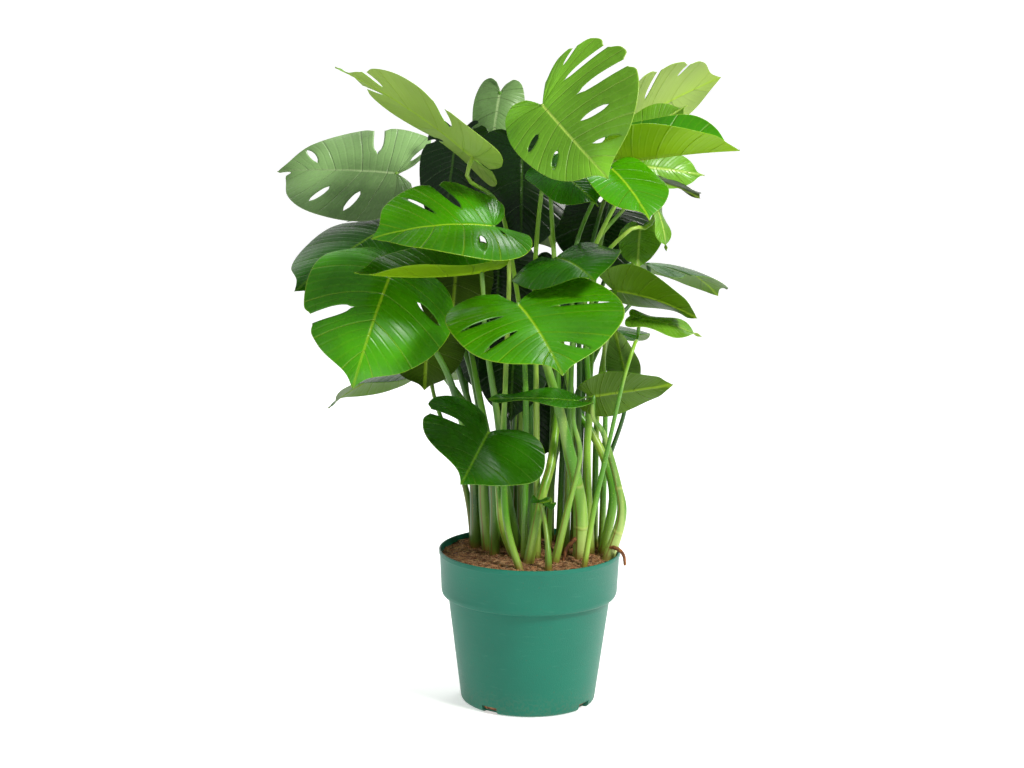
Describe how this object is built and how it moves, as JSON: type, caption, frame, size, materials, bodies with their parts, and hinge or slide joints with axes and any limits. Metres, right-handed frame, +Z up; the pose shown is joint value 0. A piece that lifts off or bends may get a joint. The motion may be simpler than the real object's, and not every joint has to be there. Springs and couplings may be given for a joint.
{
  "type": "potted swiss cheese plant",
  "caption": "Large-leaved climbing house plant with split and pierced leaves on long stalks, standing in soil in a round plastic nursery pot.",
  "frame": {"origin": "centre of the pot's base, on the surface it stands on", "axes": "+Z up the plant, -Y towards the front that the picture shows, +X to the picture's right"},
  "size_m": [0.7009, 0.7554, 0.9811],
  "materials": {
    "pot": "satin moulded plastic",
    "soil": "loose fibrous peat and coir",
    "leaf": "waxy glossy leaf"
  },
  "bodies": {
    "root": {"pot": "pot", "soil": "soil", "leaf_01": "leaf", "leaf_02": "leaf", "leaf_03": "leaf", "leaf_04": "leaf", "leaf_05": "leaf", "leaf_06": "leaf", "leaf_07": "leaf", "leaf_08": "leaf", "leaf_09": "leaf", "leaf_10": "leaf", "leaf_11": "leaf", "leaf_12": "leaf", "leaf_13": "leaf", "leaf_14": "leaf", "leaf_15": "leaf", "leaf_16": "leaf", "leaf_17": "leaf", "leaf_18": "leaf", "leaf_19": "leaf", "leaf_20": "leaf", "leaf_21": "leaf", "leaf_22": "leaf", "leaf_23": "leaf", "leaf_24": "leaf", "leaf_25": "leaf", "leaf_26": "leaf", "leaf_27": "leaf", "leaf_28": "leaf", "leaf_29": "leaf", "leaf_30": "leaf", "leaf_31": "leaf", "leaf_32": "leaf", "leaf_33": "leaf", "leaf_34": "leaf", "leaf_35": "leaf", "leaf_36": "leaf", "leaf_37": "leaf", "leaf_38": "leaf", "leaf_39": "leaf", "leaf_40": "leaf", "leaf_41": "leaf", "leaf_42": "leaf"}
  },
  "joints": []
}
